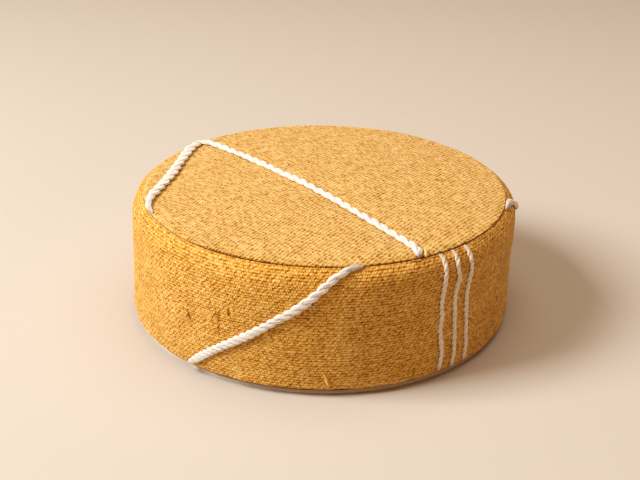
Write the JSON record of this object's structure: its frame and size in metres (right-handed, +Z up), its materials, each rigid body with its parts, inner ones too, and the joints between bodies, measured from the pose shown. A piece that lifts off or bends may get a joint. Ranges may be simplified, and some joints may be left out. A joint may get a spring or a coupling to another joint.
{
  "type": "round pouf",
  "caption": "Low round floor pouf: a filled drum of mustard woven wool with a seamed top, a canvas base, and white plaits and cords sewn on as plain lines.",
  "frame": {"origin": "on the floor, under the middle of the pouf's outline", "axes": "+Z up, through the middle of the top; -Y towards the front, the side that the slanting plait crosses; +X to the right, where the upright cords are seen from the front"},
  "size_m": [0.6076, 0.6067, 0.2157],
  "materials": {
    "top_cloth": "heavy plain-woven wool, mustard",
    "side_cloth": "heavy plain-woven wool, mustard",
    "base_canvas": "plain grey-brown canvas",
    "braid_wool": "plaited wool yarn, undyed white",
    "cord_wool": "twisted wool yarn, undyed white"
  },
  "bodies": {
    "root": {"top_panel": "top_cloth", "side_band": "side_cloth", "base_panel": "base_canvas", "top_braid": "braid_wool", "side_braid_front": "braid_wool", "side_braid_back": "braid_wool", "side_cord_1": "cord_wool", "side_cord_2": "cord_wool", "side_cord_3": "cord_wool"}
  },
  "joints": []
}
